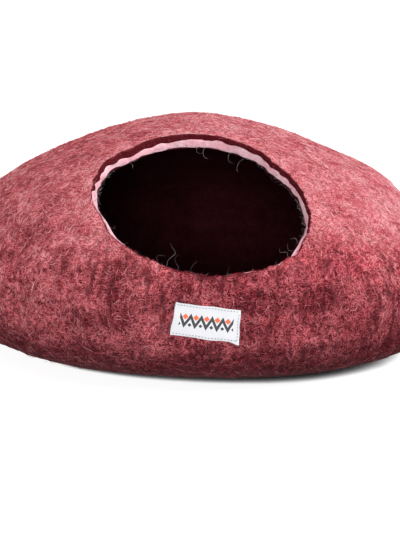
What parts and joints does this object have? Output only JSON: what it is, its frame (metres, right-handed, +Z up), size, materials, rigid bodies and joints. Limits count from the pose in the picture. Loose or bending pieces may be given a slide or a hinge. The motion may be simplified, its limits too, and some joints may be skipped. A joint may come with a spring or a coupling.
{
  "type": "pet cave bed",
  "caption": "Low round pet cave of thick wool felt with a round slanted mouth high on its front and a small woven label below it.",
  "frame": {"origin": "on the floor under the middle of the bed", "axes": "+Z up, -Y towards the front with the mouth and the label, +X to the right seen from the front"},
  "size_m": [0.5007, 0.5025, 0.2253],
  "materials": {
    "felt_outer": "marled dark red wool felt",
    "felt_core": "cut edge of pink wool felt",
    "felt_lining": "very dark wool felt",
    "label_cloth": "white woven satin"
  },
  "bodies": {
    "root": {"felt_shell": "felt_outer", "label": "label_cloth"}
  },
  "joints": []
}
